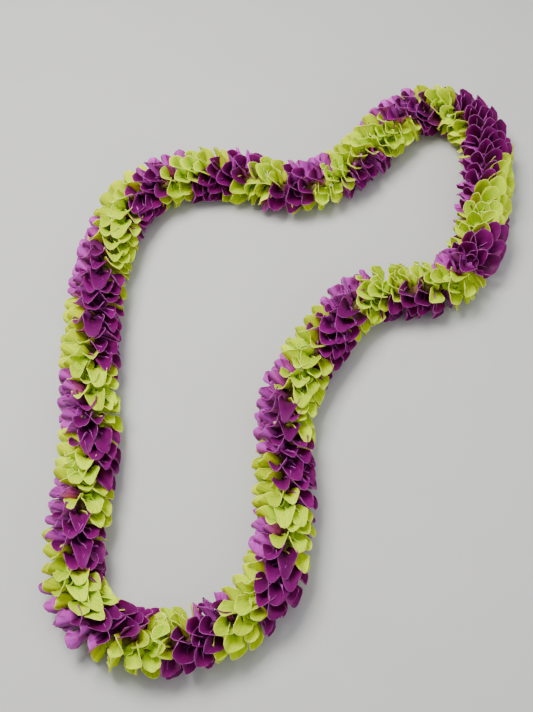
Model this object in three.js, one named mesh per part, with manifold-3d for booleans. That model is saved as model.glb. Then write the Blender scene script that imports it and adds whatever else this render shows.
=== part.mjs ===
// A fresh flower lei, lying flat: purple and lime green orchid blossoms strung back to back on one thread,
// each row turned a little from the last, so that the two colours wind round each other along the loop.
// Millimetres, +Z up. The origin is under the middle of the loop, on the surface that it lies on.
import * as THREE from "three";
import { mergeVertices } from "three/addons/utils/BufferGeometryUtils.js";
import Module from "manifold-3d";

const wasm = await Module();
wasm.setup();

// The rope of blossoms.
const TIP_RADIUS = 23; // from the thread to the petal tips
const CORE_RADIUS = 8; // the strung flower bases, which the petals stand out of
const THREAD_HEIGHT = 18.05; // of the thread over the surface: the rope is pressed flat a little below
const PRESSED_FROM = 9; // depth under the thread where that pressing begins
const PRESSED_SHARE = 0.72; // of the depth past it that is left
const THREAD_RADIUS = 0.8;
const THREAD_SIDES = 5;
const TIE_RADIUS = 1.5; // of the knot that closes the thread
const TIE_LENGTH = 2.4;
const TIE_TAPER = 1.4; // on each side of it

// Rows of blossoms. A row is one purple blossom and one green one, back to back.
const ROWS_PER_LENGTH = 7;
const LENGTHS = 18; // each length of each colour is one piece
const ROWS = ROWS_PER_LENGTH * LENGTHS;
const PIECE_GAP = 0.3; // between one length and the next
const HALF_SPAN = 82; // degrees on each side of a blossom's middle that its base takes
const PETALS = 3; // across one blossom

// The thread's route seen from above, clockwise from the top right of the loop.
const ROUTE = [
  [140, 230], [163, 203], [162, 160], [155, 120], [142, 80], [118, 52], [87, 46], [56, 41],
  [31, 18], [10, -11], [-6, -42], [-13, -75], [-14, -107], [-13, -138], [-16, -169], [-25, -196],
  [-43, -217], [-67, -230], [-94, -237], [-121, -235], [-146, -223], [-162, -199], [-164, -170],
  [-162, -125], [-160, -80], [-164, -40], [-165, 10], [-163, 55], [-155, 98], [-138, 137],
  [-109, 157], [-76, 165], [-42, 160], [-9, 150], [25, 157], [54, 181], [80, 212], [110, 234],
];

// How far round the thread the purple blossoms face: [mm along the loop, turns from straight up
// towards the outside of the loop]. The winding reverses twice, at the two ends of the top right lobe.
const WINDING = [
  [0, 0.19], [80, -0.27], [125, -0.65], [165, -1.05], [217, -1.8], [268, -1.24], [337, -0.62], [405, -0.15],
  [470, 0.4], [557, 1.58], [640, 2.78], [726, 3.85], [820, 5.01], [888, 5.71], [962, 6.13],
  [1040, 6.83], [1108, 7.76], [1178, 8.81], [1247, 9.71], [1300, 9.0], [1363, 8.19],
];

const UP = new THREE.Vector3(0, 0, 1);
const radians = THREE.MathUtils.degToRad;

const loop = new THREE.CatmullRomCurve3(ROUTE.map(([x, y]) => new THREE.Vector3(x, y, THREAD_HEIGHT)), true);
loop.arcLengthDivisions = 2000;
const LOOP_LENGTH = loop.getLength();
const ROW_STEP = LOOP_LENGTH / ROWS;
const MIDDLE = [-0.5, -1.0]; // of the box round the blossoms, from the route's own zero
const WINDING_SCALE = LOOP_LENGTH / WINDING.at(-1)[0];

const COLOURS = {
  purple: {
    side: 0,
    material: new THREE.MeshStandardMaterial({ color: 0x7a1f86, roughness: 0.5, metalness: 0 }),
    // From the left shoulder to the right one, as [across, share of the reach, towards the hollow side].
    outline: [[-8, 0.68, 3], [0, 1, 0.8], [8, 0.68, 3]],
  },
  green: {
    side: 180,
    material: new THREE.MeshStandardMaterial({ color: 0xb6d21f, roughness: 0.5, metalness: 0 }),
    outline: [[-8.2, 0.6, 3], [-4.2, 0.96, 2], [4.6, 0.92, 1.6], [8.2, 0.58, 3]],
  },
};
const BELLY = [0, 0.52, -1.2]; // the middle of the petal's trough
const PETAL_THICKNESS = 0.9;
const SHOULDER_RADIUS = 18; // where petals are widest
const PETAL_SPAN = radians((2 * HALF_SPAN) / PETALS);
const STEADY_TURN = 0.4; // radians a row, past which petals slant fully along the winding
const PETAL_LEAN = 0.3; // mm of droop for each mm up
const DROOP_EASE = 2.5; // how soon it sets in where the thread turns away from level
const LEAN_PLAY = 0.1;
const SLANT_PLAY = 0.06; // radians
const NARROWING = 0.5; // of petals on the inside of a bend, for the share of their pitch that they lose
const REACH_PLAY = 0.1; // share of a petal's length

function randomFrom(seed) {
  let state = seed;
  return () => {
    state = (state + 0x6d2b79f5) | 0;
    let t = Math.imul(state ^ (state >>> 15), 1 | state);
    t = (t + Math.imul(t ^ (t >>> 7), 61 | t)) ^ t;
    return ((t ^ (t >>> 14)) >>> 0) / 4294967296;
  };
}

// Degrees from straight up, at a distance along the loop.
function winding(distance) {
  const at = distance / WINDING_SCALE;
  const after = WINDING.findIndex(([mm]) => mm >= at);
  const next = after < 0 ? WINDING.length - 1 : Math.max(1, after);
  const [fromMm, fromTurns] = WINDING[next - 1];
  const [toMm, toTurns] = WINDING[next];
  return 360 * THREE.MathUtils.mapLinear(at, fromMm, toMm, fromTurns, toTurns);
}

// The directions at a place on the loop: along the thread, and out from it at an angle from straight up.
function frameAt(distance, angle) {
  const share = THREE.MathUtils.euclideanModulo(distance / LOOP_LENGTH, 1);
  const along = loop.getTangentAt(share);
  const outside = new THREE.Vector3().crossVectors(UP, along);
  const turn = radians(angle);
  const out = new THREE.Vector3().addScaledVector(UP, Math.cos(turn)).addScaledVector(outside, Math.sin(turn));
  const round = new THREE.Vector3().addScaledVector(UP, -Math.sin(turn)).addScaledVector(outside, Math.cos(turn));
  return { middle: loop.getPointAt(share), along, out, round };
}

function shoulderAt(distance, angle) {
  const frame = frameAt(distance, angle);
  return frame.middle.addScaledVector(frame.out, SHOULDER_RADIUS);
}

function pressed(point) {
  const depth = THREAD_HEIGHT - point.z - PRESSED_FROM;
  if (depth > 0) point.z = THREAD_HEIGHT - PRESSED_FROM - depth * PRESSED_SHARE;
  return point;
}

function meshOf(name, points, triangles, material) {
  const geometry = new THREE.BufferGeometry();
  geometry.setAttribute("position", new THREE.Float32BufferAttribute(points.flatMap((p) => p.toArray()), 3));
  geometry.setIndex(triangles);
  geometry.computeVertexNormals();
  const mesh = new THREE.Mesh(geometry, material);
  mesh.name = name;
  return mesh;
}

// The four corners of a flower base's section, at a distance along the loop.
function baseCorners(points, distance, side) {
  const middle = winding(distance) + side;
  return Array.from({ length: PETALS + 1 }, (_, k) => {
    const angle = middle + HALF_SPAN * ((2 * k) / PETALS - 1);
    const frame = frameAt(distance, angle);
    return points.push(pressed(frame.middle.clone().addScaledVector(frame.out, CORE_RADIUS))) - 1;
  });
}

// One petal, standing on the four corners of its patch of the base: near and far ones on the left and right.
function addPetal(points, triangles, corners, distance, angle, shape, random) {
  const frame = frameAt(distance, angle);
  const near = shoulderAt(distance - ROW_STEP / 2, angle);
  const pitch = near.distanceTo(shoulderAt(distance + ROW_STEP / 2, angle));
  const turn = radians(winding(distance + ROW_STEP / 2) - winding(distance - ROW_STEP / 2));
  // Half way between its neighbours: those in its own blossom, and those in the next rows.
  const slant = Math.atan(pitch / (SHOULDER_RADIUS * (Math.abs(turn) + PETAL_SPAN)))
    * THREE.MathUtils.clamp(turn / STEADY_TURN, -1, 1) + SLANT_PLAY * (random() - 0.5);
  const room = Math.min(1, pitch / ROW_STEP);
  const reach = (TIP_RADIUS - CORE_RADIUS) * (1 - REACH_PLAY * random());
  // The lei has hung with its top up, so its petals droop towards -Y and show their hollow sides to +Y.
  const droop = THREE.MathUtils.clamp(-DROOP_EASE * frame.along.y, -1, 1);
  const lean = PETAL_LEAN * droop + LEAN_PLAY * (random() - 0.5) * room;
  const place = ([across, up, forward], layer) => {
    const height = up * reach;
    const side = across * (1 - NARROWING * (1 - room));
    const ahead = layer * PETAL_THICKNESS / 2 - forward * droop * room;
    const point = frame.middle.clone();
    point.addScaledVector(frame.out, CORE_RADIUS + height);
    point.addScaledVector(frame.round, side * Math.cos(slant) - ahead * Math.sin(slant));
    point.addScaledVector(frame.along, side * Math.sin(slant) + ahead * Math.cos(slant) + height * lean);
    return points.push(pressed(point)) - 1;
  };
  const { nearLeft, nearRight, farLeft, farRight } = corners;
  const back = [nearLeft, ...shape.outline.map((at) => place(at, -1)), nearRight];
  const front = [farLeft, ...shape.outline.map((at) => place(at, 1)), farRight];
  const backBelly = place(BELLY, -1);
  const frontBelly = place(BELLY, 1);
  back.forEach((_, k) => {
    const next = (k + 1) % back.length;
    triangles.push(backBelly, back[k], back[next], frontBelly, front[next], front[k]);
    if (next) triangles.push(back[k], front[k], front[next], back[k], front[next], back[next]);
  });
}

function blossoms(colourName, length) {
  const colour = COLOURS[colourName];
  const random = randomFrom(100 * length + colour.side);
  const points = [];
  const triangles = [];
  const firstRow = length * ROWS_PER_LENGTH;
  const rings = Array.from({ length: ROWS_PER_LENGTH + 1 }, (_, k) => {
    const inset = k === 0 ? PIECE_GAP / 2 : k === ROWS_PER_LENGTH ? -PIECE_GAP / 2 : 0;
    return baseCorners(points, (firstRow + k) * ROW_STEP + inset, colour.side);
  });
  const start = rings[0];
  const end = rings.at(-1);
  triangles.push(start[0], start[1], start[2], start[0], start[2], start[3]);
  triangles.push(end[0], end[2], end[1], end[0], end[3], end[2]);
  for (let k = 0; k < ROWS_PER_LENGTH; k++) {
    const near = rings[k];
    const far = rings[k + 1];
    const distance = (firstRow + k + 0.5) * ROW_STEP;
    const forward = winding(distance + 1) > winding(distance - 1);
    if (forward) triangles.push(near[0], near[3], far[0], near[3], far[3], far[0]);
    else triangles.push(near[0], near[3], far[3], near[0], far[3], far[0]);
    for (let petal = 0; petal < PETALS; petal++) {
      const corners = {
        nearLeft: near[petal], nearRight: near[petal + 1], farLeft: far[petal], farRight: far[petal + 1],
      };
      const across = HALF_SPAN * ((2 * petal + 1) / PETALS - 1);
      const angle = winding(distance) + colour.side + across;
      addPetal(points, triangles, corners, distance, angle, colour, random);
    }
  }
  const name = `${colourName}_blossoms_${String(length + 1).padStart(2, "0")}`;
  return meshOf(name, points, triangles, colour.material);
}

// Rings of the thread, as [mm along the loop, radius]: one between each two rows, and the knot in the first row.
function threadRings() {
  const rings = Array.from({ length: ROWS }, (_, row) => [row * ROW_STEP, THREAD_RADIUS]);
  const knot = [
    [-TIE_LENGTH / 2 - TIE_TAPER, THREAD_RADIUS], [-TIE_LENGTH / 2, TIE_RADIUS],
    [TIE_LENGTH / 2, TIE_RADIUS], [TIE_LENGTH / 2 + TIE_TAPER, THREAD_RADIUS],
  ];
  rings.splice(1, 0, ...knot.map(([offset, radius]) => [ROW_STEP / 2 + offset, radius]));
  return rings;
}

function thread() {
  const points = [];
  const triangles = [];
  const rings = threadRings();
  rings.forEach(([distance, radius], ring) => {
    const next = (ring + 1) % rings.length;
    for (let side = 0; side < THREAD_SIDES; side++) {
      const frame = frameAt(distance, (360 * side) / THREAD_SIDES);
      points.push(frame.middle.addScaledVector(frame.out, radius));
      const beside = (side + 1) % THREAD_SIDES;
      const [near, nearBeside, far, farBeside] = [
        [ring, side], [ring, beside], [next, side], [next, beside],
      ].map(([at, k]) => at * THREAD_SIDES + k);
      triangles.push(near, far, nearBeside, far, farBeside, nearBeside);
    }
  });
  const material = new THREE.MeshStandardMaterial({ color: 0xe9e6da, roughness: 0.8, metalness: 0 });
  return meshOf("thread", points, triangles, material);
}

function solidOf(geometry) {
  const bare = new THREE.BufferGeometry();
  bare.setAttribute("position", geometry.getAttribute("position"));
  bare.setIndex(geometry.index);
  const merged = mergeVertices(bare);
  const vertProperties = new Float32Array(merged.getAttribute("position").array);
  const triVerts = new Uint32Array(merged.index.array);
  return new wasm.Manifold(new wasm.Mesh({ numProp: 3, vertProperties, triVerts }));
}

// The part of a mesh above the surface: petals that meet it end in a small flat.
function restedOn(surface, mesh) {
  const cut = solidOf(mesh.geometry).subtract(surface).getMesh();
  const geometry = new THREE.BufferGeometry();
  geometry.setAttribute("position", new THREE.BufferAttribute(cut.vertProperties, 3));
  geometry.setIndex(new THREE.BufferAttribute(cut.triVerts, 1));
  geometry.computeVertexNormals();
  mesh.geometry = geometry;
  return mesh;
}

const SURFACE_SIZE = 1000;
const SURFACE_DEPTH = 20;
const surfaceBox = new THREE.BoxGeometry(SURFACE_SIZE, SURFACE_SIZE, SURFACE_DEPTH);
const surface = solidOf(surfaceBox.translate(0, 0, -SURFACE_DEPTH / 2));

const lei = new THREE.Group();
for (let length = 0; length < LENGTHS; length++) {
  lei.add(restedOn(surface, blossoms("purple", length)), restedOn(surface, blossoms("green", length)));
}
lei.add(thread());
lei.position.set(-MIDDLE[0], -MIDDLE[1], 0);
export default lei;
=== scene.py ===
"""A fresh flower lei lying on a pale floor: purple and lime green orchid blossoms strung back to back.

Every length of blossoms in the CAD is replaced by the same blossoms with all their petals: three sepals,
two petals, a lip and a column each, on a narrow neck that the thread runs through. The lei's sizes are in
millimetres. Its finished pieces, the lights and the camera are in metres. Z is up.
"""
import math

import bpy
import numpy as np
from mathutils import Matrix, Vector


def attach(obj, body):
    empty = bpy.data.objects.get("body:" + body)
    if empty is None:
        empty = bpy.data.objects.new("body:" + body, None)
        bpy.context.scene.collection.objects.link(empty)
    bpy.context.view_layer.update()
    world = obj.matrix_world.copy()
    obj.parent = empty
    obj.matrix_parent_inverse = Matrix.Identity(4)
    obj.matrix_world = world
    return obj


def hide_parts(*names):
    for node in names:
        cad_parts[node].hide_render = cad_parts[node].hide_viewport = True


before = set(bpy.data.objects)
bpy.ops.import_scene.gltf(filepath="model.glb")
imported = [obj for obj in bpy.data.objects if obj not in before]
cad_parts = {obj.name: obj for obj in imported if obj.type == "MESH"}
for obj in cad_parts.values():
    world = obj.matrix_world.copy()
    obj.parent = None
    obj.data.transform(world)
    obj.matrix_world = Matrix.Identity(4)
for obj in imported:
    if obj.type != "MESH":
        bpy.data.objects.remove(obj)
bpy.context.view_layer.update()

UP = np.array([0.0, 0.0, 1.0])

# The rope of blossoms, as in the part's source.
THREAD_HEIGHT = 18.05  # of the thread over the floor: the rope is pressed flat a little below
PRESSED_FROM = 9.0  # depth under the thread where that pressing begins
PRESSED_SHARE = 0.72  # of the depth past it that is left
ROWS_PER_LENGTH = 7
LENGTHS = 18
ROWS = ROWS_PER_LENGTH * LENGTHS
PLACE = np.array([0.5, 1.0, 0.0])  # of the route's own zero

# The thread's route seen from above, clockwise from the top right of the loop, as in the part's source.
ROUTE = [
    (140, 230), (163, 203), (162, 160), (155, 120), (142, 80), (118, 52), (87, 46), (56, 41),
    (31, 18), (10, -11), (-6, -42), (-13, -75), (-14, -107), (-13, -138), (-16, -169), (-25, -196),
    (-43, -217), (-67, -230), (-94, -237), (-121, -235), (-146, -223), (-162, -199), (-164, -170),
    (-162, -125), (-160, -80), (-164, -40), (-165, 10), (-163, 55), (-155, 98), (-138, 137),
    (-109, 157), (-76, 165), (-42, 160), (-9, 150), (25, 157), (54, 181), (80, 212), (110, 234),
]
SPAN_POINTS = 200  # worked out from each point of the route to the next
CENTRIPETAL = 0.25  # power of the squared gap between two points of the route that its curve goes by
NEARBY = 0.3  # mm before and after a place, between which the thread's direction is taken

# How far round the thread the purple blossoms face: (mm along the loop, turns from straight up towards the
# outside of the loop). It is the source's winding, set against the photo more closely.
WINDING = [
    (0, 0.26), (80, -0.20), (105, -0.31), (125, -0.49), (165, -0.90), (200, -1.42), (226, -1.84),
    (268, -1.30), (337, -0.62), (365, -0.36), (405, -0.12), (470, 0.43), (540, 1.33), (557, 1.59),
    (640, 2.78), (726, 3.85), (820, 5.01), (888, 5.71), (962, 6.08), (1040, 6.74), (1108, 7.66),
    (1152, 8.27), (1178, 8.79), (1206, 9.20), (1247, 9.72), (1278, 9.43), (1300, 9.24), (1322, 8.97),
    (1340, 8.71), (1363, 8.26),
]

# Which way along the thread the petals lean, 1 forward and -1 back, and how much of their stance is the
# hanging or rising one: (mm along the loop, share). The rest is the level or the crest one, as all of it
# is where the thread runs straight across the photo.
LEANING = [
    (0, -1), (165, -1), (172, -0.5), (178, 0.5), (201, 0.8), (612, 1), (618, 0.05), (622, -0.05),
    (632, -1), (1060, -1), (1110, -0.5), (1215, -0.5), (1253, -0.4), (1332, -0.5), (1363, -1),
]
STEEP_EASE = 1.5  # how soon the hanging or rising stance is full, as the thread turns up or down the photo
CREST_ABOVE = 100.0  # Y past which the rest is the crest stance, and not the level one

# How petals stand: their lean along the thread and their turn about their own length, by the way that they
# point from it (degrees from straight up, towards the right), and how far a lip leans away from its petals.
# Hanging rows lean towards the loop's lower end and rising ones towards its upper end. All in degrees.
STANCE = {
    "hanging": {
        "lean": [(-180, -20), (-90, -22), (-50, -14), (-18, 28), (0, 44), (40, 42), (90, 24), (180, -20)],
        "turn": [(-180, 30), (-90, 35), (-50, 38), (-18, 20), (0, 5), (40, 15), (90, 48), (180, 30)],
        "spread": 0,
    },
    "rising": {
        "lean": [(-180, -10), (-90, -10), (-45, -4), (0, 8), (45, 16), (90, 26), (180, -10)],
        "turn": [(-180, 0), (-90, 34), (-45, 20), (0, 0), (45, 20), (90, 42), (180, 0)],
        "spread": 6,
    },
    "level": {
        "lean": [(-180, 0), (-90, 0), (0, 20), (90, 0), (180, 0)],
        "turn": [(-180, 0), (-90, -55), (0, 0), (90, 55), (180, 0)],
        "spread": 14,
    },
    "crest": {
        "lean": [(-180, 0), (-90, -8), (-45, -4), (0, 24), (90, 4), (180, 0)],
        "turn": [(-180, 0), (-90, 48), (-45, 32), (0, 0), (90, 55), (180, 0)],
        "spread": 10,
    },
}
LEAN_AT_BASE = 0.4  # share of its lean that a petal has at its base
LEAN_AT_TIP = 1.4
# The rope's right side is the loop's outside wherever the way there has an X above this share of its Y.
OUTSIDE_IS_RIGHT = 0.3

# How far single blossoms and petals stray from their places: radians, and for size a share.
PLAY = {
    "turn": math.radians(8),  # of a lip round the thread
    "place": math.radians(7),  # of a petal round the thread
    "lean": math.radians(9),  # of a petal
    "twist": math.radians(12),  # of a petal about its own length
    "nod": math.radians(6),  # of a whole blossom's lean
    "size": 0.10,
}

# Ten outer petals stand round the thread in every row, five of each colour, nearly behind those of the
# row before: they drift round with a share of the winding. Each blossom also has a curled lip.
OUTER_PLACES = 10
DRIFT = 0.42
# A petal: how far it stands from the row's middle towards its lean, its length from the thread, its half
# width, the radius that it is rolled to (and that on the left of the rope), how much shorter its sides are
# than its middle, how square its end is, and how far its rim waves.
PETALS = {
    "purple": {
        "petal": {"ahead": 1.0, "reach": 24.8, "wide": 10.4, "roll": 9.8, "left_roll": 4.9, "side": 0.31,
                  "point": 2.7, "wave": 0.8},
        "sepal": {"ahead": 0.2, "reach": 24.8, "wide": 9.4, "roll": 9.0, "left_roll": 4.6, "side": 0.43,
                  "point": 1.8, "wave": 0.9},
        "lip": {"ahead": -3.0, "reach": 14.0, "wide": 8.0, "roll": 5.5, "left_roll": 5.0, "side": 0.30,
                "point": 2.4, "wave": 0.8},
    },
    "green": {
        "petal": {"ahead": 1.0, "reach": 23.7, "wide": 9.4, "roll": 9.6, "left_roll": 7.2, "side": 0.30,
                  "point": 2.8, "wave": 0.9},
        "sepal": {"ahead": 0.2, "reach": 23.2, "wide": 8.6, "roll": 9.0, "left_roll": 6.8, "side": 0.35,
                  "point": 2.2, "wave": 0.9},
        "lip": {"ahead": -3.0, "reach": 14.0, "wide": 8.0, "roll": 5.8, "left_roll": 5.5, "side": 0.30,
                "point": 2.4, "wave": 0.8},
    },
}
COLOURS = {
    "purple": {"side": 0.0, "petals": PETALS["purple"], "slot": "purple_petal"},
    "green": {"side": 180.0, "petals": PETALS["green"], "slot": "green_petal"},
}

# A petal's surface is worked out at these shares of its length and of its half width.
ALONG = np.array([0, 0.16, 0.33, 0.5, 0.65, 0.78, 0.88, 0.96, 1.0])
ACROSS = np.array([-1, -0.9, -0.65, -0.33, 0, 0.33, 0.65, 0.9, 1.0])
# Its middle line is worked out at these, a little past its tip.
LINE_SHARES = np.linspace(0, 1.15, 70)
LINE_TO_TIP = 60  # of them come before the tip
# A leaning petal is made longer, so that it reaches as far, as if at least this share of it stood upright.
LEAST_UPRIGHT = 0.55
# Its width, as shares of the widest. It widens from its base up to a share of its length, and narrows
# again from another one.
BASE_WIDTH = 0.6
WIDEST_FROM = 0.7
WIDENING = 1.1  # power of the curve that it widens by
NARROWING = 0.12
NARROWS_FROM = 0.8
NARROWS_OVER = 0.2
# It stands on the blossom's base with a tight roll that eases into its own, and a petal that is rolled
# tighter than TIP_ROLL opens to it towards its tip.
BASE_RADIUS = 4.0
BASE_ROLL = 5.0
ROLL_EASE = 1.5
TIP_ROLL = 7.5
OPENS_FROM = 0.55
OPENS_OVER = 0.45
MOST_BEND = 1.5  # radians that each half of it is rolled through
# On the left of the rope it is rolled tighter: the share of that at the top, and how fast it goes.
LEFT_AT_TOP = 0.2
LEFT_RATE = 1.2
# It has a keel along its middle that sets in above its base, and waves along its end and its sides, in
# radians for its half width and for its length.
KEEL = 1.0
KEEL_WIDTH = 1.6
KEEL_EASE = 2
END_WAVES = 5.2
SIDE_WAVES = 11
# It is thicker at its base, and thins towards its tip by this share.
THICKNESS = 0.5
BASE_THICKNESS = 1.15
THINNING = 0.45
TIP_EDGE = 0.02  # mm from the rim that the tip itself counts as

# Tips that reach too far are drawn in to a radius round the thread, which is a little larger at the rope's
# sides and below, and whatever comes near the floor is kept off it. Both are eased over some millimetres.
TIP_RADIUS = 24.2
SIDE_EXTRA = 1.2
TIP_EASE = 3.0
FLOOR_EASE = 2.0
TINY = 1e-6  # instead of a length of nothing, where one divides

# The stems in the middle of a blossom, with their radii from start to end. The calyx and the column start
# and end at these distances from the thread, and the neck lies along it.
CALYX_FOOT = 1.2
CALYX_TOP = 9.0
CALYX_RADII = [1.6, 4.0, 6.0, 7.0]
NECK_OUT = 1.6
NECK_HALF = 0.55  # of its length, for each mm from row to row
NECK_RADII = [2.2, 3.0, 2.6, 3.0, 2.2]
COLUMN_FOOT = 5.0
COLUMN_TIP = 9.5
PALE_TIP = 13.5  # of the few columns that are pale and stand further out
PALE_SHARE = 0.14
FOOT_BACK = 1.0  # how far the column starts and ends behind the petals, along the thread
TIP_BACK = 1.5
COLUMN_RADII = [1.5, 1.4, 1.5, 1.7, 1.0]
STEM_SIDES = 8
COLUMN_SIDES = 7
NEAR_X = 0.8  # a stem's rings are set out from the X axis, or from the Y axis if its own X is past this
STEM_EDGE = 5.0  # mm from a rim that all stems count as

# What a point belongs to, for the material. Most columns are as dark as the necks.
PETAL = 0.0
NECK = 1.0
PALE_COLUMN = 2.0

# The colours of a petal's hollow side, of the painted shade on that side deep in the throat, of the painted
# sheen in streaks on that side, of the petal's back, of the back's paler streaks, which are partly its own
# colour and partly painted sheen, and of the painted highlight along its keel, and of the rim. Then those of
# necks and dark columns, and of pale columns.
LOOKS = {
    "purple": {
        "inner": (0.16, 0.0003, 0.115, 1), "inner_throat_shade": (0.08, 0.0003, 0.056, 1),
        "inner_painted_sheen": (0.32, 0.006, 0.25, 1), "back": (0.17, 0.002, 0.13, 1),
        "back_pale_and_sheen": (0.84, 0.10, 0.78, 1), "rim": (0.42, 0.08, 0.36, 1),
        "neck": (0.24, 0.13, 0.06, 1), "column": (0.70, 0.55, 0.30, 1), "rough": 0.40, "shine": 0.14,
    },
    "green": {
        "inner": (0.63, 0.86, 0.0, 1), "inner_throat_shade": (0.52, 0.73, 0.0, 1),
        "inner_painted_sheen": (0.70, 0.92, 0.0, 1), "back": (0.66, 0.88, 0.0, 1),
        "back_pale_and_sheen": (0.80, 0.96, 0.001, 1), "rim": (0.94, 1.0, 0.18, 1),
        "neck": (0.30, 0.20, 0.09, 1), "column": (0.90, 0.92, 0.45, 1), "rough": 0.46, "shine": 0.05,
    },
}
BLACK = (0, 0, 0, 1)
VEIN_STEPS = {"across": 9.0, "along": 1.4, "tone": 37.0}  # of noise over a petal, and from one to the next
VEIN_DETAIL = 2.0
VEIN_SHADE = 0.22
BLOTCH_SCALE = 130.0
BLOTCH_DETAIL = 3.0
# The blotches join the veins in the streaks of painted sheen. On the back, those streaks are also partly its
# own paler colour.
BLOTCH_SHARE = 0.6  # of the blotches, for the veins' own 1, in the light streaks
# How strong the painted sheen streaks on the hollow side are.
INNER_SHEEN_SHARE = 0.4
# How strong the painted highlight along the back's keel is.
KEEL_HIGHLIGHT_SHARE = 0.8
TONES = (0.78, 1.18)  # the darkest and the lightest petal
# Where one colour gives way to the next: (none, all) of the value that it goes by.
# Painted shade deep in the throat gives way to the hollow side's own colour over this share of its length.
THROAT_SHADE_TO_INNER = (0.4, 1.0)  # share of the petal's length
# Painted sheen in streaks on the hollow side.
INNER_SHEEN_STREAKS = (0.7, 1.05)
# The back's paler streaks: partly its own paler colour, partly painted sheen.
BACK_STREAKS = (0.55, 1.05)
# Painted highlight along the back's keel.
KEEL_HIGHLIGHT = (0.42, 0.03)  # share of the petal's half width
VEINS = (0.45, 0.62)
RIM = (0.55, 0.05)  # mm from the rim
TO_NECK = (0.4, 0.6)
TO_PALE_COLUMN = (1.4, 1.6)
# Light goes a few millimetres into a petal, and its veins stand out of it.
TRANSLUCENCY = {
    "Subsurface Weight": 0.2,
    "Subsurface Radius": (1.0, 0.9, 0.4),
    "Subsurface Scale": 0.004,
}
VEIN_STRENGTH = 0.35
VEIN_HEIGHT = 0.0004

# Two near colours mixed by noise.
COTTON = {
    "colours": ((0.72, 0.68, 0.58, 1), (0.88, 0.85, 0.78, 1)), "scale": 900.0, "detail": 2.0, "rough": 0.9,
}
FLOOR = {
    "colours": ((0.56, 0.56, 0.555, 1), (0.60, 0.60, 0.595, 1)), "scale": 14.0, "detail": 4.0, "rough": 0.75,
}

SEED = 7
LENGTH_SEEDS = 1000  # from one length to the next
PER_METRE = 1000

# The studio, in metres. The lights are soft, and shine at the middle of the lei:
# (name, place, size, watts, colour).
FLOOR_SIZE = 8
LIGHTS = [
    ("key", (-0.38, 0.22, 1.02), 0.5, 17.5, (1.0, 0.985, 0.93)),
    ("fill", (0.9, -0.7, 0.8), 0.9, 5.0, (1, 1, 1)),
    ("top", (0.1, 0.2, 1.4), 1.2, 6.0, (1, 1, 1)),
]
WORLD_COLOUR = (0.8, 0.82, 0.85, 1)
WORLD_STRENGTH = 0.32
CAMERA_ELEVATION = math.radians(62)
CAMERA_DISTANCE = 0.85
CAMERA_TARGET = Vector((-0.0259, -0.0123, 0.018))
SENSOR_HEIGHT = 24  # mm, as the lens
LENS = 36.47
NEAREST = 0.01
FURTHEST = 20


def smooth(x):
    """0 up to 0, 1 from 1, and an eased curve between."""
    x = np.clip(x, 0, 1)
    return x * x * (3 - 2 * x)


# The thread.


def catmull_rom():
    """Points and distances along the closed centripetal spline through ROUTE, as three.js makes it."""
    knots = np.array(ROUTE, float)
    count = len(knots)
    t = (np.arange(SPAN_POINTS) / SPAN_POINTS)[:, None]
    points = []
    for k in range(count):
        p0, p1, p2, p3 = (knots[(k + j) % count] for j in (-1, 0, 1, 2))
        d0, d1, d2 = (np.sum((b - a) ** 2) ** CENTRIPETAL for a, b in ((p0, p1), (p1, p2), (p2, p3)))
        t1 = ((p1 - p0) / d0 - (p2 - p0) / (d0 + d1) + (p2 - p1) / d1) * d1
        t2 = ((p2 - p1) / d1 - (p3 - p1) / (d1 + d2) + (p3 - p2) / d2) * d1
        cubic = (2 * p1 - 2 * p2 + t1 + t2) * t**3 + (-3 * p1 + 3 * p2 - 2 * t1 - t2) * t**2
        points.append(cubic + t1 * t + p1)
    points = np.vstack(points + [knots[:1]])
    steps = np.linalg.norm(np.diff(points, axis=0), axis=1)
    return points, np.concatenate([[0], np.cumsum(steps)])


LOOP_POINTS, LOOP_DISTANCES = catmull_rom()
LOOP_LENGTH = LOOP_DISTANCES[-1]
ROW_STEP = LOOP_LENGTH / ROWS


def seen_from_above(distance):
    """X and Y of the thread at a distance along the loop."""
    distance = distance % LOOP_LENGTH
    return np.array([np.interp(distance, LOOP_DISTANCES, LOOP_POINTS[:, k]) for k in (0, 1)])


def loop_at(distance):
    """The thread's place and direction at a distance along the loop."""
    ahead = seen_from_above(distance + NEARBY) - seen_from_above(distance - NEARBY)
    along = np.array([*ahead, 0.0])
    return np.array([*seen_from_above(distance), THREAD_HEIGHT]), along / np.linalg.norm(along)


def table_at(table, distance):
    """The value of a table of (mm along the loop, value) at a distance along the loop."""
    places, values = zip(*table)
    return float(np.interp(distance / LOOP_LENGTH * places[-1], places, values))


def winding(distance):
    """Radians from straight up that the purple blossoms face, at a distance along the loop."""
    return 2 * math.pi * table_at(WINDING, distance)


# One petal's shape.


def middle_line(shape, size, bow):
    """A petal's length, and at LINE_SHARES of it, its lean and how far out and ahead its middle line is."""
    leans = bow(LINE_SHARES)
    upright = np.mean(np.cos(leans[:LINE_TO_TIP]))
    long = (shape["reach"] * size - BASE_RADIUS) / max(LEAST_UPRIGHT, upright)
    step = long * (LINE_SHARES[1] - LINE_SHARES[0])
    out = np.concatenate([[0], np.cumsum(np.cos(leans[:-1]) * step)])
    ahead = np.concatenate([[0], np.cumsum(np.sin(leans[:-1]) * step)])
    return long, leans, out, ahead


def rolled_half(shape, size, rolled, v):
    """A petal's half width and the radius that it is rolled to, at shares of its length."""
    widened = np.sin(math.pi / 2 * np.clip(v / WIDEST_FROM, 0, 1)) ** WIDENING
    half = shape["wide"] * size * (BASE_WIDTH + (1 - BASE_WIDTH) * widened)
    half = half * (1 - NARROWING * smooth((v - NARROWS_FROM) / NARROWS_OVER))
    roll = BASE_ROLL + (rolled - BASE_ROLL) * smooth(v * ROLL_EASE)
    roll = roll + max(0.0, TIP_ROLL - rolled) * smooth((v - OPENS_FROM) / OPENS_OVER)
    return np.minimum(half, MOST_BEND * roll), roll


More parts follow.
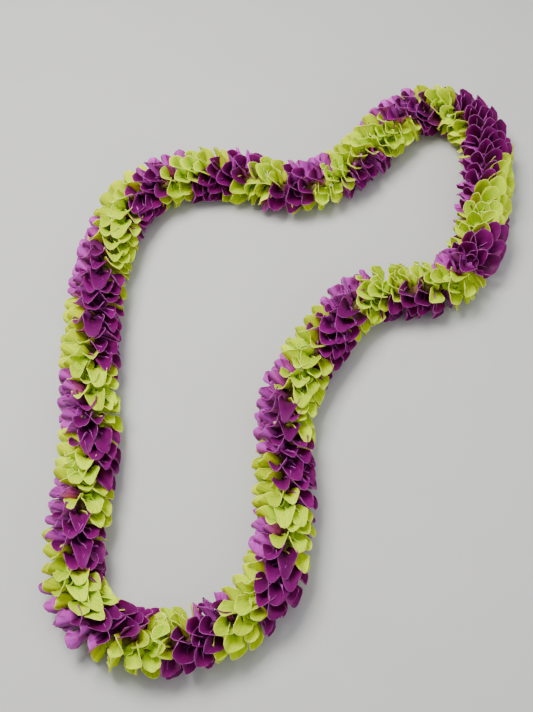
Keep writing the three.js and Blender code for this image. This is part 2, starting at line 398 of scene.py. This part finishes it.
def petal_grid(shape, rolled, bow, twist, rng):
    """A petal's middle surface, as (out from the thread, towards the lean, round the thread).

    Also the way that its hollow side faces, the same way, and the surface's data for the material.
    """
    size = 1 + PLAY["size"] * rng.uniform(-1, 1)
    phase = rng.uniform(0, 2 * math.pi)
    v, w = np.meshgrid(ALONG, ACROSS, indexing="ij")
    long, line_leans, line_out, line_ahead = middle_line(shape, size, bow)
    half, roll = rolled_half(shape, size, rolled, v)
    share = v * (1 - shape["side"] * np.abs(w) ** shape["point"] * v)
    lean = np.interp(share, LINE_SHARES, line_leans)
    bend = w * half / roll
    waves = np.sin(w * END_WAVES + phase) * v**3 + np.sin(v * SIDE_WAVES + phase * 2) * np.abs(w) ** 3 * v
    keel = -KEEL * np.exp(-((w * half / KEEL_WIDTH) ** 2)) * smooth(v * KEEL_EASE) * (1 - v**4)
    lift = roll * (1 - np.cos(bend)) + shape["wave"] * waves + keel
    across = roll * np.sin(bend)
    turned = across * math.sin(twist) + lift * math.cos(twist)
    grid = np.stack([
        BASE_RADIUS + np.interp(share, LINE_SHARES, line_out) + np.sin(lean) * turned,
        shape["ahead"] + np.interp(share, LINE_SHARES, line_ahead) - np.cos(lean) * turned,
        across * math.cos(twist) - lift * math.sin(twist),
    ], axis=-1)
    hollow = np.stack([
        np.sin(lean) * math.cos(twist),
        -np.cos(lean) * math.cos(twist),
        -math.sin(twist) * np.ones_like(lean),
    ], axis=-1)
    edge = np.minimum((1 - np.abs(w)) * half, (1 - v) * long + TIP_EDGE)
    return grid, hollow, {"edge": edge, "along": v, "across": w}


def held_in(points, middle, along):
    """Points with those past the tips' radius from the thread drawn in."""
    offset = points - middle
    lengthwise = offset @ along
    radial = offset - lengthwise[:, None] * along
    radius = np.linalg.norm(radial, axis=1)
    upward = np.maximum(radial[:, 2], 0) / np.maximum(radius, TINY)
    eased_from = TIP_RADIUS + SIDE_EXTRA * (1 - upward**2) - TIP_EASE
    over = np.maximum(radius - eased_from, 0)
    held = np.where(over > 0, eased_from + TIP_EASE * (1 - np.exp(-over / TIP_EASE)), radius)
    return middle + lengthwise[:, None] * along + radial * (held / np.maximum(radius, TINY))[:, None]


def pressed(points):
    """Points with the underside of the rope pressed flat, and kept above the floor."""
    depth = THREAD_HEIGHT - points[:, 2] - PRESSED_FROM
    z = np.where(depth > 0, THREAD_HEIGHT - PRESSED_FROM - depth * PRESSED_SHARE, points[:, 2])
    eased = FLOOR_EASE * np.exp(np.minimum(z - FLOOR_EASE, 0) / FLOOR_EASE)
    return np.column_stack([points[:, 0], points[:, 1], np.where(z < FLOOR_EASE, eased, z)])


# Meshes.


class Mesh:
    """Points, faces and point data collected for one piece."""

    def __init__(self):
        self.points = []
        self.faces = []
        self.data = {name: [] for name in ("inner", "edge", "along", "across", "tone", "part")}
        self.count = 0

    def add(self, points, faces, **data):
        """More points, with faces between them, and data for each of them or one value for all."""
        self.points.append(points)
        self.faces.append(np.asarray(faces, int) + self.count)
        for name, values in self.data.items():
            values.append(np.broadcast_to(np.ravel(data[name]), len(points)))
        self.count += len(points)


def grid_faces(rows, columns, start=0):
    """The quads between the points of a grid, which are counted from start."""
    index = start + np.arange(rows * columns).reshape(rows, columns)
    corners = [index[:-1, :-1], index[:-1, 1:], index[1:, 1:], index[1:, :-1]]
    return np.stack(corners, axis=-1).reshape(-1, 4)


def rim_faces(rows, columns):
    """The quads between the rims of two grids, the second's points counted on from the first's."""
    index = np.arange(rows * columns).reshape(rows, columns)
    rim = np.concatenate([index[:, 0], index[-1, 1:], index[-2::-1, -1], index[0, -2:0:-1]])
    following = np.roll(rim, -1)
    return np.stack([rim, following, following + rows * columns, rim + rows * columns], axis=-1)


def petal_faces():
    """A petal's quads: its hollow side, its back and its rim."""
    rows = len(ALONG)
    columns = len(ACROSS)
    back = grid_faces(rows, columns, rows * columns)[:, ::-1]
    return np.vstack([grid_faces(rows, columns), back, rim_faces(rows, columns)])


PETAL_FACES = petal_faces()


def normals_of(grid):
    """The way that a grid of points faces, at each of them."""
    normal = np.cross(np.gradient(grid, axis=0), np.gradient(grid, axis=1))
    return normal / np.maximum(np.linalg.norm(normal, axis=-1, keepdims=True), TINY)


def add_two_sides(mesh, grid, inward, data, rng):
    """A petal's hollow side and back, half its thickness from its middle surface, and its rim."""
    normal = normals_of(grid)
    faces_hollow = np.sum(normal * inward) > 0
    if not faces_hollow:
        normal = -normal
    thickness = THICKNESS * (BASE_THICKNESS - THINNING * data["along"])[..., None]
    sides = [grid + normal * thickness / 2, grid - normal * thickness / 2]
    points = np.concatenate([side.reshape(-1, 3) for side in sides])
    inner = np.repeat([1.0, 0.0], len(points) // 2)
    twice = {name: np.tile(values.ravel(), 2) for name, values in data.items()}
    faces = PETAL_FACES if faces_hollow else PETAL_FACES[:, ::-1]
    mesh.add(pressed(points), faces, inner=inner, tone=rng.uniform(0, 1), part=PETAL, **twice)


def stem_faces(rings, sides):
    """A stem's faces: quads, and at its closed ends triangles, which are quads with a corner twice."""
    start_point = rings * sides
    end_point = start_point + 1
    last = (rings - 1) * sides
    pairs = [(side, (side + 1) % sides) for side in range(sides)]
    faces = []
    for near in range(0, last, sides):
        far = near + sides
        faces += [(near + side, near + beside, far + beside, far + side) for side, beside in pairs]
    for side, beside in pairs:
        faces.append((beside, side, start_point, start_point))
        faces.append((last + side, last + beside, end_point, end_point))
    return faces


def add_stem(mesh, start, end, radii, part, rng, sides=STEM_SIDES, inner=0.0):
    """A tapered round stem from start to end. With inner 1, it has the painted shade deep in the throat."""
    axis = (end - start) / np.linalg.norm(end - start)
    other = np.array([1.0, 0, 0]) if abs(axis[0]) < NEAR_X else np.array([0, 1.0, 0])
    first = np.cross(axis, other)
    first /= np.linalg.norm(first)
    second = np.cross(axis, first)
    turns = np.linspace(0, 2 * math.pi, sides, endpoint=False)
    rings = []
    for k, radius in enumerate(radii):
        at = start + (end - start) * k / (len(radii) - 1)
        rings.append(at + radius * (np.cos(turns)[:, None] * first + np.sin(turns)[:, None] * second))
    points = np.vstack(rings + [start[None], end[None]])
    along = np.concatenate([np.repeat(np.linspace(0, 1, len(radii)), sides), [0, 1]]) * (1 - inner)
    across = np.concatenate([np.tile(turns / math.pi - 1, len(radii)), [0, 0]])
    mesh.add(pressed(points), stem_faces(len(radii), sides), part=part, along=along, inner=inner,
             edge=STEM_EDGE, tone=rng.uniform(0, 1), across=across)


# Blossoms on the thread.


def row_at(distance, rng):
    """How a row of blossoms lies at a distance along the loop: its place, its directions and its stance."""
    middle, along = loop_at(distance)
    outside = np.cross(UP, along)
    leaning = table_at(LEANING, distance)
    handed = 1 if outside[0] > OUTSIDE_IS_RIGHT * outside[1] else -1
    down = along * math.copysign(1, leaning)
    return {
        "middle": middle,
        "along": along,
        "outside": outside,
        "right": outside * handed,
        "handed": handed,
        "down": down,
        "share": abs(leaning) * min(1.0, STEEP_EASE * abs(along[1])),
        "steep": "hanging" if down[1] < 0 else "rising",
        "flat": "crest" if middle[1] > CREST_ABOVE else "level",
        "nod": PLAY["nod"] * rng.uniform(-1, 1),
    }


def out_at(row, angle):
    """The way out from the thread at an angle from straight up."""
    return math.cos(angle) * UP + math.sin(angle) * row["outside"]


def stance_of(kind, from_top):
    """Lean, turn and spread of a kind of stance, at these degrees round from the top."""
    lean, turn = (np.interp(from_top, *zip(*STANCE[kind][key])) for key in ("lean", "turn"))
    return lean, turn, STANCE[kind]["spread"]


def stance(row, out):
    """Lean, turn and spread of a petal that points this way, between its row's steep and flat kinds."""
    from_top = math.degrees(math.atan2(float(out @ row["right"]), float(out @ UP)))
    share = row["share"]
    both = zip(stance_of(row["steep"], from_top), stance_of(row["flat"], from_top))
    lean, turn, spread = (math.radians(share * steep + (1 - share) * flat) for steep, flat in both)
    return lean, turn * row["handed"], spread


def add_petal(mesh, row, shape, angle, rng):
    """One petal of a row, at an angle round the thread."""
    angle += PLAY["place"] * rng.uniform(-1, 1)
    out = out_at(row, angle)
    around = -math.sin(angle) * UP + math.cos(angle) * row["outside"]
    lean, turn, spread = stance(row, out)
    lean += row["nod"] + PLAY["lean"] * rng.uniform(-1, 1)
    # A lip stands behind the outer petals, and leans away from them.
    spread *= 1 if shape["ahead"] > 0 else -1
    twist = turn + PLAY["twist"] * rng.uniform(-1, 1)

    def bow(share):
        return lean * (LEAN_AT_BASE + (LEAN_AT_TIP - LEAN_AT_BASE) * smooth(share)) + spread * smooth(share)

    leftward = smooth(LEFT_AT_TOP - LEFT_RATE * float(out @ row["right"]))
    rolled = shape["roll"] + (shape["left_roll"] - shape["roll"]) * leftward
    local, hollow, data = petal_grid(shape, rolled, bow, twist, rng)
    axes = np.stack([out, row["down"], around])
    placed = row["middle"] + local @ axes
    grid = held_in(placed.reshape(-1, 3), row["middle"], row["along"]).reshape(placed.shape)
    add_two_sides(mesh, grid, hollow @ axes, data, rng)


def add_middle(mesh, row, out, rng):
    """A blossom's calyx, its neck round the thread, and its column."""
    middle = row["middle"]
    foot = middle + out * CALYX_FOOT
    top = middle + out * CALYX_TOP
    # The calyx is coloured with the painted shade deep in the throat.
    add_stem(mesh, foot, top, CALYX_RADII, PETAL, rng, inner=1.0)
    beside = middle + out * NECK_OUT
    half_neck = row["along"] * ROW_STEP * NECK_HALF
    add_stem(mesh, beside - half_neck, beside + half_neck, NECK_RADII, NECK, rng)
    lean = stance(row, out)[0]
    axis = out * math.cos(lean) + row["down"] * math.sin(lean)
    pale = rng.uniform() < PALE_SHARE
    foot = middle + out * COLUMN_FOOT - row["down"] * FOOT_BACK
    tip = middle + axis * (PALE_TIP if pale else COLUMN_TIP) - row["down"] * TIP_BACK
    add_stem(mesh, foot, tip, COLUMN_RADII, PALE_COLUMN if pale else NECK, rng, sides=COLUMN_SIDES)


def outer_angles(drift, facing):
    """The angles of a blossom's five outer petals: the row's places that are on its own side."""
    step = 2 * math.pi / OUTER_PLACES
    first = facing - math.pi / 2
    shift = drift % step
    start = math.ceil((first - shift) / step) * step + shift
    return [start + k * step for k in range(OUTER_PLACES // 2)]


def add_blossom(mesh, colour, number, rng):
    """One colour's blossom of a row: outer petals, sepals and petals by turns, then its lip and middle."""
    distance = (number + 0.5) * ROW_STEP
    facing = winding(distance) + math.radians(colour["side"])
    row = row_at(distance, rng)
    for k, angle in enumerate(outer_angles(DRIFT * winding(distance), facing)):
        add_petal(mesh, row, colour["petals"]["petal" if k % 2 else "sepal"], angle, rng)
    angle = facing + PLAY["turn"] * rng.uniform(-1, 1)
    add_petal(mesh, row, colour["petals"]["lip"], angle, rng)
    add_middle(mesh, row, out_at(row, angle), rng)


def piece_from(mesh, name, material):
    """A Blender object of a mesh, in metres, smooth, with its point data as attributes."""
    points = (np.vstack(mesh.points) + PLACE) / PER_METRE
    faces = [tuple(dict.fromkeys(face)) for face in np.vstack(mesh.faces).tolist()]
    data = bpy.data.meshes.new(name)
    data.from_pydata(points.tolist(), [], faces)
    for key, values in mesh.data.items():
        layer = data.attributes.new(key, "FLOAT", "POINT")
        layer.data.foreach_set("value", np.concatenate(values).astype(np.float32))
    data.polygons.foreach_set("use_smooth", [True] * len(data.polygons))
    data.materials.append(material)
    data.update()
    piece = bpy.data.objects.new(name, data)
    bpy.context.scene.collection.objects.link(piece)
    return piece


# Materials.


class Nodes:
    """A short way to write a material's nodes."""

    def __init__(self, name):
        self.material = bpy.data.materials.new(name)
        self.material.use_nodes = True
        self.tree = self.material.node_tree
        self.shader = self.tree.nodes["Principled BSDF"]

    def link(self, value, socket):
        """A socket linked to another one, or set to a constant."""
        if isinstance(value, bpy.types.NodeSocket):
            self.tree.links.new(value, socket)
        else:
            socket.default_value = value

    def shade(self, values):
        """Sockets of the shader linked or set, by their names."""
        for name, value in values.items():
            self.link(value, self.shader.inputs[name])

    def attribute(self, name):
        node = self.tree.nodes.new("ShaderNodeAttribute")
        node.attribute_name = name
        return node.outputs["Fac"]

    def maths(self, operation, *values):
        node = self.tree.nodes.new("ShaderNodeMath")
        node.operation = operation
        for k, value in enumerate(values):
            self.link(value, node.inputs[k])
        return node.outputs[0]

    def ramp(self, value, low, high, to_low=0.0, to_high=1.0):
        node = self.tree.nodes.new("ShaderNodeMapRange")
        node.interpolation_type = "SMOOTHSTEP"
        for k, given in enumerate((value, low, high, to_low, to_high)):
            self.link(given, node.inputs[k])
        return node.outputs[0]

    def mix(self, factor, first, second, blend="MIX"):
        """Two colours mixed. A mix node's colour sockets share their names, so they go by number."""
        node = self.tree.nodes.new("ShaderNodeMix")
        node.data_type = "RGBA"
        node.blend_type = blend
        self.link(factor, node.inputs[0])
        self.link(first, node.inputs[6])
        self.link(second, node.inputs[7])
        return node.outputs[2]

    def noise(self, scale, detail, vector):
        node = self.tree.nodes.new("ShaderNodeTexNoise")
        self.link(scale, node.inputs["Scale"])
        self.link(detail, node.inputs["Detail"])
        self.link(vector, node.inputs["Vector"])
        return node.outputs["Fac"]

    def bump(self, height, strength, distance):
        node = self.tree.nodes.new("ShaderNodeBump")
        self.link(strength, node.inputs["Strength"])
        self.link(distance, node.inputs["Distance"])
        self.link(height, node.inputs["Height"])
        return node.outputs["Normal"]

    def combine(self, x, y, z):
        node = self.tree.nodes.new("ShaderNodeCombineXYZ")
        for k, value in enumerate((x, y, z)):
            self.link(value, node.inputs[k])
        return node.outputs[0]

    def place(self):
        return self.tree.nodes.new("ShaderNodeTexCoord").outputs["Object"]


def petal_colour(n, look, veins, blotch):
    """Painted shade in the throat and painted sheen streaks inside; on the back, paler streaks partly of
    painted sheen and a painted highlight along the keel; a pale rim; veins.
    """
    along = n.attribute("along")
    across = n.attribute("across")
    streaks = n.maths("ADD", veins, n.maths("MULTIPLY", blotch, BLOTCH_SHARE))
    # Painted shade deep in the throat, easing into the hollow side's own colour towards the tip.
    inside = n.mix(n.ramp(along, *THROAT_SHADE_TO_INNER), look["inner_throat_shade"], look["inner"])
    # Painted sheen in streaks on the hollow side.
    inner_sheen_mask = n.maths("MULTIPLY", n.ramp(streaks, *INNER_SHEEN_STREAKS), INNER_SHEEN_SHARE)
    inside = n.mix(inner_sheen_mask, inside, look["inner_painted_sheen"])
    # The back's paler streaks: partly its own paler colour, partly painted sheen.
    outside = n.mix(n.ramp(streaks, *BACK_STREAKS), look["back"], look["back_pale_and_sheen"])
    # A painted highlight along the back's keel.
    keel_highlight = n.maths("MULTIPLY", n.ramp(n.maths("ABSOLUTE", across), *KEEL_HIGHLIGHT), KEEL_HIGHLIGHT_SHARE)
    outside = n.mix(keel_highlight, outside, look["back_pale_and_sheen"])
    petal = n.mix(n.attribute("inner"), outside, inside)
    petal = n.mix(n.maths("MULTIPLY", n.ramp(veins, *VEINS), VEIN_SHADE), petal, BLACK, "MULTIPLY")
    tone = n.ramp(n.attribute("tone"), 0.0, 1.0, *TONES)
    petal = n.mix(1.0, petal, n.combine(tone, tone, tone), "MULTIPLY")
    return n.mix(n.ramp(n.attribute("edge"), *RIM), petal, look["rim"])


def blossom_material(name, look):
    """Petals, and the necks and columns among them."""
    n = Nodes(name)
    steps = [n.maths("MULTIPLY", n.attribute(key), times) for key, times in VEIN_STEPS.items()]
    veins = n.noise(1.0, VEIN_DETAIL, n.combine(*steps))
    blotch = n.noise(BLOTCH_SCALE, BLOTCH_DETAIL, n.place())
    part = n.attribute("part")
    colour = n.mix(n.ramp(part, *TO_NECK), petal_colour(n, look, veins, blotch), look["neck"])
    colour = n.mix(n.ramp(part, *TO_PALE_COLUMN), colour, look["column"])
    n.shade({"Base Color": colour, "Roughness": look["rough"], "Specular IOR Level": look["shine"]})
    n.shade(TRANSLUCENCY)
    n.shade({"Normal": n.bump(veins, VEIN_STRENGTH, VEIN_HEIGHT)})
    return n.material


def speckled_material(name, look):
    """A rough surface of two near colours."""
    n = Nodes(name)
    speckles = n.noise(look["scale"], look["detail"], n.place())
    n.shade({"Base Color": n.mix(speckles, *look["colours"]), "Roughness": look["rough"]})
    return n.material


# The scene.


def add_lengths():
    """Every length of each colour, in the place of its CAD node."""
    for colour_name, colour in COLOURS.items():
        material = blossom_material(f"{colour_name}_petals", LOOKS[colour_name])
        for length in range(LENGTHS):
            rng = np.random.default_rng(SEED + LENGTH_SEEDS * length + int(colour["side"]))
            mesh = Mesh()
            for row in range(length * ROWS_PER_LENGTH, (length + 1) * ROWS_PER_LENGTH):
                add_blossom(mesh, colour, row, rng)
            node = f"{colour_name}_blossoms_{length + 1:02d}"
            piece = piece_from(mesh, f"fresh_{node}", material)
            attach(piece, "root")
            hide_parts(node)


def dress_thread():
    """The CAD's own thread, in cotton."""
    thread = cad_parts["thread"]
    thread.data.materials.clear()
    thread.data.materials.append(speckled_material("thread_cotton", COTTON))


def add_floor():
    bpy.ops.mesh.primitive_plane_add(size=FLOOR_SIZE, location=(0, 0, 0))
    floor = bpy.context.object
    floor.name = "floor"
    floor.data.materials.append(speckled_material("pale_floor", FLOOR))


def add_light(name, place, size, power, colour):
    data = bpy.data.lights.new(name, "AREA")
    data.size = size
    data.energy = power
    data.color = colour
    light = bpy.data.objects.new(name, data)
    light.location = place
    light.rotation_mode = "QUATERNION"
    light.rotation_quaternion = (-Vector(place)).to_track_quat("-Z", "Y")
    bpy.context.scene.collection.objects.link(light)


def add_world():
    world = bpy.data.worlds.new("studio")
    world.use_nodes = True
    background = world.node_tree.nodes["Background"]
    background.inputs["Color"].default_value = WORLD_COLOUR
    background.inputs["Strength"].default_value = WORLD_STRENGTH
    bpy.context.scene.world = world


def add_camera():
    """The photo's own view: from above and a little from the loop's lower end."""
    data = bpy.data.cameras.new("camera")
    data.sensor_fit = "VERTICAL"
    data.sensor_height = SENSOR_HEIGHT
    data.lens = LENS
    data.clip_start = NEAREST
    data.clip_end = FURTHEST
    camera = bpy.data.objects.new("camera", data)
    back = Vector((0, -math.cos(CAMERA_ELEVATION), math.sin(CAMERA_ELEVATION)))
    camera.location = CAMERA_TARGET + back * CAMERA_DISTANCE
    camera.rotation_mode = "QUATERNION"
    camera.rotation_quaternion = (-back).to_track_quat("-Z", "Y")
    bpy.context.scene.collection.objects.link(camera)
    bpy.context.scene.camera = camera


add_lengths()
dress_thread()
add_floor()
for light in LIGHTS:
    add_light(*light)
add_world()
add_camera()
